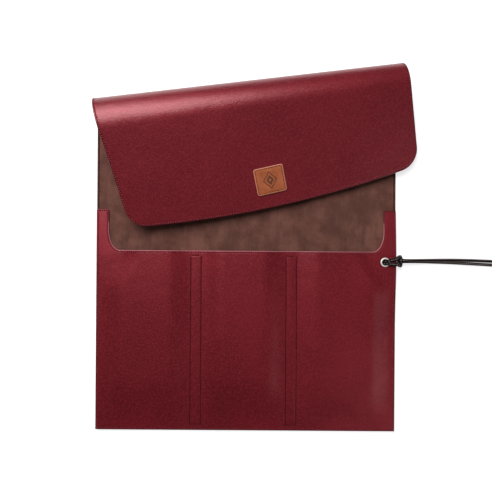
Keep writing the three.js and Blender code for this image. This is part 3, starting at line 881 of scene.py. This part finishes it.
# The outline of the pocket panel
def pocket_outline():
    shoulder = post_height - corner_cut
    hem = spaced((-half_width, 0), (half_width, 0), hem_step)
    right = spaced((half_width, 0), (half_width, shoulder), hem_step)
    top = [(half_width, shoulder), (half_width - corner_cut, post_height)]
    top += spaced(
        (half_width - corner_ease, post_height), (post_inner + corner_cut, post_height), post_step,
    ).tolist()
    top += [(post_inner + corner_cut, post_height), (post_inner, shoulder)]
    scoop_top = mouth_height + scoop_rise
    inner = spaced((post_inner, post_height - corner_ease), (post_inner, scoop_top), post_step)
    angles = np.linspace(0, math.pi / 2, 19)
    scoop = np.stack([
        post_inner - scoop_run + scoop_run * np.cos(angles),
        scoop_top - scoop_rise * np.sin(angles),
    ], axis=1)
    mouth = spaced((post_inner - scoop_run, mouth_height), (0, mouth_height), 3.0)[1:]
    half = np.vstack([top, inner, scoop, mouth])
    mirror = np.array([-1, 1])
    left = right[::-1] * mirror
    return np.vstack([hem, right, half, [(0, mouth_height)], half[::-1] * mirror, left[:-1]])


def band_seams():
    """Each band's two long rows, and its short top and foot rows, which stop clear of the corners."""
    lines = []
    for left, right in band_edges():
        lines += [spaced((x, band_foot), (x, band_top), 3.0) for x in (left, right)]
        lines += [spaced((left + 1.6, y), (right - 1.6, y), 1.6) for y in (band_top, band_foot)]
    return lines


def band_boxes():
    return [
        np.array([(left, band_foot), (right, band_foot), (right, band_top), (left, band_top)])
        for left, right in band_edges()
    ]


def pocket_relief(flat):
    """The sewn bands stand a little proud between their stitch lines."""
    puff = np.zeros(len(flat))
    between = (flat[:, 1] > band_foot) * (flat[:, 1] < band_top)
    for left, right in band_edges():
        across = np.clip((flat[:, 0] - left) / (right - left), 0, 1)
        puff = puff + band_puff * np.sin(across * math.pi) ** 0.6 * between
    return puff


pocket_loop = pocket_outline()
pocket_columns = np.linspace(-205, 205, 84)
pocket_rows = np.arange(6, 308, 5.0)
pocket = Pattern(pocket_loop, pocket_columns, pocket_rows, seams=band_seams(), hole=hole_radius, clear=3.0)
pocket_panel = sheet_piece(
    "pocket_leather_panel", pocket, pocket_points, 0.0, pocket_thickness, pocket_leather,
    relief=pocket_relief, roundness=0.8,
)
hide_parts("pocket_panel")
pocket_x, pocket_y = pocket.flat.T
near_mouth = (pocket_y > mouth_height - 6) & (pocket_y < mouth_height + 40)
add_attribute(pocket_panel, "raw", pocket.on_both(near_mouth & (np.abs(pocket_x) < half_width - 4)))

# The posts are painted paler than the pockets as a painted highlight, most of all the left one, and so is the
# low right corner
post_highlight_left = 1.25
post_highlight_right = 0.55
corner_highlight = 0.85
post_share = smooth_step((np.abs(pocket_x) - (post_inner - 14)) / 16)
post_share = post_share * smooth_step((pocket_y - (mouth_height - 16)) / 18)
post_highlights = post_share * np.where(pocket_x < 0, post_highlight_left, post_highlight_right)
low_corner = smooth_step((pocket_x - 20) / 170) * smooth_step((190 - pocket_y) / 150)
add_attribute(pocket_panel, "painted_highlight", pocket.on_both(np.maximum(post_highlights, corner_highlight * low_corner)))

# Stitching. The same rows go through every layer.
sheet_seam = resample(inset_ring(sheet_loop, stitch_inset), seam_step, closed=True)
pocket_seam = resample(inset_ring(pocket_loop, stitch_inset), seam_step, closed=True)


def open_part(loop, keep):
    """The one run of a closed loop's points for which keep holds."""
    start = int(np.argmin(keep))
    return np.roll(loop, -start, axis=0)[np.roll(keep, -start)]


flap_line = open_part(sheet_seam, sheet_seam[:, 1] > flap_seam_from)
under_line = open_part(sheet_seam, sheet_seam[:, 1] < under_seam_to)
inner_line = open_part(sheet_seam, sheet_seam[:, 1] > post_height + 1.5)
flap_stitches = stitches(
    "flap_stitches", [flap_line], fold_points, 0.0, -1, 0.12, burgundy_thread,
)
stitches("underside_stitches", [under_line], fold_points, 0.0, -1, 0.56, burgundy_thread)
lining_stitches = stitches(
    "lining_stitches", [inner_line], fold_points, lining_top, 1, 0.2, lining_thread,
)
pocket_stitches = stitches(
    "pocket_stitches", [pocket_seam], pocket_points, pocket_thickness, 1, 0.12, burgundy_thread,
    closed=True,
)
band_stitches = stitches(
    "band_stitches", [resample(loop, 0.8, closed=True) for loop in band_boxes()], pocket_points,
    pocket_thickness, 1, 0.18, band_thread, closed=True,
)


# Label patch
def patch_outline():
    angles = np.linspace(0, math.pi / 2, 7)
    wide = patch_width / 2 - patch_corner
    high = patch_height / 2 - patch_corner
    points = []
    for quarter, (cx, cy) in enumerate([(wide, -high), (wide, high), (-wide, high), (-wide, -high)]):
        turned = angles + (quarter - 1) * math.pi / 2
        points += [(cx + patch_corner * math.cos(a), cy + patch_corner * math.sin(a)) for a in turned]
    dense = resample(np.array(points), 1.1, closed=True)
    return dense + np.array([0, patch_middle])


patch_middle = side_length + end_bow - patch_end_gap - patch_height / 2
patch_face = -layer_gap - patch_thickness
patch_rings = (0.0, 0.09, 0.3, 0.8, 1.3, 1.7, 2.1, 2.5, 3.0)
patch_columns = np.arange(-18, 18.1, 1.5)
patch_rows = patch_middle + np.arange(-16, 16.1, 1.5)
patch_loop = patch_outline()
patch_pattern = Pattern(patch_loop, patch_columns, patch_rows, rings=patch_rings, clear=1.0)
patch_pattern.seam = np.abs(patch_pattern.edge - patch_stitch_inset)
patch = sheet_piece(
    "tan_patch", patch_pattern, fold_points, patch_face, -layer_gap, patch_leather,
    rim_seam=False, groove_bottom=True, roundness=0.7,
)
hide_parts("label_patch")
patch_map = patch.data.uv_layers.new(name="pattern")
corner_vertices = np.empty(len(patch.data.loops), np.int32)
patch.data.loops.foreach_get("vertex_index", corner_vertices)
patch_uv = patch_pattern.on_both(patch_pattern.flat)[corner_vertices] - np.array([0, patch_middle])
patch_map.data.foreach_set("uv", patch_uv.astype(np.float32).ravel())
patch_seam = resample(inset_ring(patch_loop, patch_stitch_inset), 0.6, closed=True)
stitches(
    "patch_stitches", [patch_seam], fold_points, patch_face, -1, 0.1, patch_thread,
    closed=True, length=1.5, pitch=3.0, radius=0.36, reach=0.3,
)


# Eyelet: a turned ring with rounded lips
def turned_ring(profile, segments):
    angles = round_angles(segments)[:, None]
    radii, heights = np.array(profile).T
    x = radii * np.cos(angles) + eyelet_x
    y = radii * np.sin(angles) + eyelet_y
    points = np.stack([x, y, np.broadcast_to(heights, x.shape)], axis=-1).reshape(-1, 3)
    faces = tube_faces(0, segments + 1, len(profile))[:, [0, 3, 2, 1]] % len(points)
    return points, faces.tolist()


bore = eyelet_bore / 2
barrel = bore + eyelet_wall
rim = eyelet_flange / 2
back_rim = eyelet_back_flange / 2
seat = edge_top + layer_gap
under = edge_lift - layer_gap
crest = (bore + 0.5 + rim) / 2
eyelet_profile = [
    (bore, under - 0.3), (bore + 0.15, under - 0.62), (barrel, under - eyelet_back_height),
    (back_rim - 0.5, under - eyelet_back_height), (back_rim - 0.1, under - 0.5), (back_rim, under - 0.2),
    (back_rim, under), (barrel, under), (barrel, seat), (rim - 0.15, seat), (rim, seat + 0.15),
    (rim - 0.1, seat + 0.45), (rim - 0.5, seat + 0.82), (crest + 0.4, seat + 1.06),
    (crest - 0.3, seat + eyelet_face_height), (bore + 0.9, seat + 1.0), (bore + 0.35, seat + 0.7),
    (bore + 0.05, seat + 0.2), (bore, seat - 0.3),
]
ring_segments = 72
ring_points, ring_faces = turned_ring(eyelet_profile, ring_segments)
ring = make_object("eyelet_ring", in_frame(ring_points), ring_faces, [eyelet_metal])
add_attribute(ring, "bore", from_eyelet(ring_points[:, :2]) - bore)
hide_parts("eyelet")


# Braided cord
def through(points, steps):
    """A centripetal curve through points, as the part's source makes it. Returns places and their shares."""
    padded = np.vstack([2 * points[0] - points[1], points, 2 * points[-1] - points[-2]])
    places = []
    shares = []
    for k in range(len(points) - 1):
        a, b, c, d = padded[k:k + 4]
        first, second, third = (max(np.linalg.norm(q - p), 1e-9) ** 0.5 for p, q in ((a, b), (b, c), (c, d)))
        start = ((b - a) / first - (c - a) / (first + second) + (c - b) / second) * second
        finish = ((c - b) / second - (d - b) / (second + third) + (d - c) / third) * second
        for t in np.arange(steps) / steps:
            place = (2 * t ** 3 - 3 * t ** 2 + 1) * b + (t ** 3 - 2 * t ** 2 + t) * start
            place = place + (-2 * t ** 3 + 3 * t ** 2) * c + (t ** 3 - t ** 2) * finish
            places.append(place)
            shares.append(k + t)
    places.append(points[-1])
    shares.append(len(points) - 1)
    return np.array(places), np.array(shares)


def carried_frame(centres):
    """Directions along a line, and two sides square to them that don't turn about it."""
    ahead = unit(np.gradient(centres, axis=0))
    sides = np.empty_like(centres)
    side = np.array([0.0, 1.0, 0.0])
    for k, way in enumerate(ahead):
        side = side - side.dot(way) * way
        side /= np.linalg.norm(side)
        sides[k] = side
    return ahead, sides, np.cross(ahead, sides)


braid_step = 0.00042
braid_pitch = 0.0131
plait_sides = 8
plait_half_width = 0.00098
plait_half_height = 0.00050
plait_reach = 0.70
plait_swing = 0.15
core_sides = 10
core_reach = 0.74
dome_reach = 0.97
dome_height = 0.35
dome_shares = (0.0, 0.35, 0.7, 1.0)


def braided(name, places, radii, phase=0.0):
    """Four plaits each way over a core, along places in metres, with a plain dome at each end."""
    run = run_along(places)
    at = np.linspace(0, run[-1], int(run[-1] / braid_step) + 1)
    centres = line_at(places, run, at)
    wide = np.interp(at, run, radii)
    scale = wide / cord_radius
    ahead, side, third = carried_frame(centres)
    points = []
    faces = []
    crown_highlights = []
    total = 0
    turns = round_angles(plait_sides)
    lobes = 1 + 0.07 * np.cos(turns * 4)
    for plait in range(8):
        way = 1 if plait < 4 else -1
        angle = way * 2 * math.pi * at / braid_pitch + 2 * math.pi * (plait % 4) / 4 + phase
        over = way * np.cos(8 * math.pi * at / braid_pitch)
        outward = side * np.cos(angle)[:, None] + third * np.sin(angle)[:, None]
        middle = centres + outward * (wide * (plait_reach + plait_swing * over))[:, None]
        run_way = unit(np.gradient(middle, axis=0))
        outward = unit(outward - (outward * run_way).sum(1)[:, None] * run_way)
        across = np.cross(run_way, outward)
        ring_points = (
            middle[:, None]
            + across[:, None] * (np.cos(turns) * lobes)[:, None] * (plait_half_width * scale)[:, None, None]
            + outward[:, None] * (np.sin(turns) * lobes)[:, None] * (plait_half_height * scale)[:, None, None]
        )
        points.append(ring_points.reshape(-1, 3))
        # Painted highlight on the outer side of each plait running one way, where it crosses over
        highlight_share = (over + 1) / 2 * (way > 0)
        crown_highlights.append(np.repeat(highlight_share, plait_sides) * np.tile(np.clip(np.sin(turns), 0, 1), len(at)))
        faces += tube_faces(total, len(at), plait_sides).tolist()
        total += len(at) * plait_sides
    turns = round_angles(core_sides)
    spokes = side[:, None] * np.cos(turns)[:, None] + third[:, None] * np.sin(turns)[:, None]
    points.append((centres[:, None] + spokes * (wide * core_reach)[:, None, None]).reshape(-1, 3))
    faces += tube_faces(total, len(at), core_sides).tolist()
    total += len(at) * core_sides
    for end, way, order in ((0, -ahead[0], [1, 0, 3, 2]), (-1, ahead[-1], [0, 1, 2, 3])):
        for share in dome_shares:
            size = wide[end] * dome_reach * math.cos(share * math.pi / 2)
            forward = way * wide[end] * dome_height * math.sin(share * math.pi / 2)
            points.append(centres[end] + forward + spokes[end] * size)
        faces += tube_faces(total, len(dome_shares), core_sides)[:, order].tolist()
        total += len(dome_shares) * core_sides
    points = np.vstack(points)
    made = make_object(name, points, faces, [cord_braid])
    crown_highlights = np.concatenate(crown_highlights)
    add_attribute(made, "crown", np.pad(crown_highlights, (0, len(points) - len(crown_highlights))))
    return made


hitch_points = np.array([
    (x, y, share * edge_top / 1000 + z) for x, y, share, z, _ in hitch_route
]) + eyelet_place
hitch_places, hitch_shares = through(hitch_points, 8)
hitch_radii = np.interp(hitch_shares, np.arange(len(hitch_route)), [row[4] for row in hitch_route])
hitch = braided("braided_hitch", hitch_places, hitch_radii)
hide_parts("cord_hitch")

for name, route, phase in (("lower", lower_strand_route, 0.0), ("upper", upper_strand_route, 0.9)):
    route_points = np.array(route) + eyelet_place
    route_places, _ = through(route_points, 10)
    radii = np.full(len(route_places), cord_radius)
    strand = braided(f"braided_strand_{name}", route_places, radii, phase)
    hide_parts(f"cord_strand_{name}")

# Floor, which glows round the roll and not where the roll covers it
def floor_paint():
    material, tree, shader = start_material("floor_paint", {
        "Roughness": 0.9, "Specular IOR Level": 0.1, "Emission Color": (1, 1, 1, 1),
    })
    coords = object_coords(tree)
    paint = blend(tree, noise(tree, coords, 3, 2), (0.61, 0.61, 0.61), (0.63, 0.63, 0.63))
    spot = node(tree, "ShaderNodeVectorMath", operation="LENGTH")
    wire(tree, coords, spot.inputs[0])
    glow = spread(tree, spot.outputs["Value"], 0.42, 1.1, 0.7, 0.25)
    axes = node(tree, "ShaderNodeSeparateXYZ")
    wire(tree, coords, axes.inputs["Vector"])
    past_side = spread(tree, sums(tree, "ABSOLUTE", axes.outputs["X"]), 0.200, 0.2095)
    past_end = spread(tree, sums(tree, "ABSOLUTE", axes.outputs["Y"]), 0.198, 0.2095)
    glow = times(tree, glow, sums(tree, "MAXIMUM", past_side, past_end))
    feed(tree, shader, {"Base Color": paint, "Emission Strength": glow})
    return material


floor_half = 6
floor_z = -0.0003
floor_corners = [(x * floor_half, y * floor_half, floor_z) for x, y in ((-1, -1), (1, -1), (1, 1), (-1, 1))]
floor_mesh = bpy.data.meshes.new("floor")
floor_mesh.from_pydata(floor_corners, [], [(0, 1, 2, 3)])
floor_mesh.materials.append(floor_paint())
floor = bpy.data.objects.new("floor", floor_mesh)
scene.collection.objects.link(floor)


# Soft studio light, aimed at the roll's middle
light_aim = Vector((0, 0.1, 0))


def area_light(name, place, size, watts):
    data = bpy.data.lights.new(name, "AREA")
    data.shape = "RECTANGLE"
    data.size, data.size_y = size
    data.energy = watts
    light = bpy.data.objects.new(name, data)
    light.location = place
    light.rotation_euler = (light_aim - Vector(place)).to_track_quat("-Z", "Y").to_euler()
    scene.collection.objects.link(light)


area_light("key", (-0.412, 0.814, 1.487), (0.9, 1.0), 22.8)
area_light("back", (-0.884, 1.154, 0.999), (1.1, 0.7), 11)
area_light("fill", (1.154, -0.708, 0.951), (0.9, 0.8), 4)
world = bpy.data.worlds.new("studio")
world.use_nodes = True
background = world.node_tree.nodes["Background"]
background.inputs["Color"].default_value = (1, 1, 1, 1)
background.inputs["Strength"].default_value = 0.03
scene.world = world
scene.view_settings.view_transform = "Standard"
scene.view_settings.look = "None"
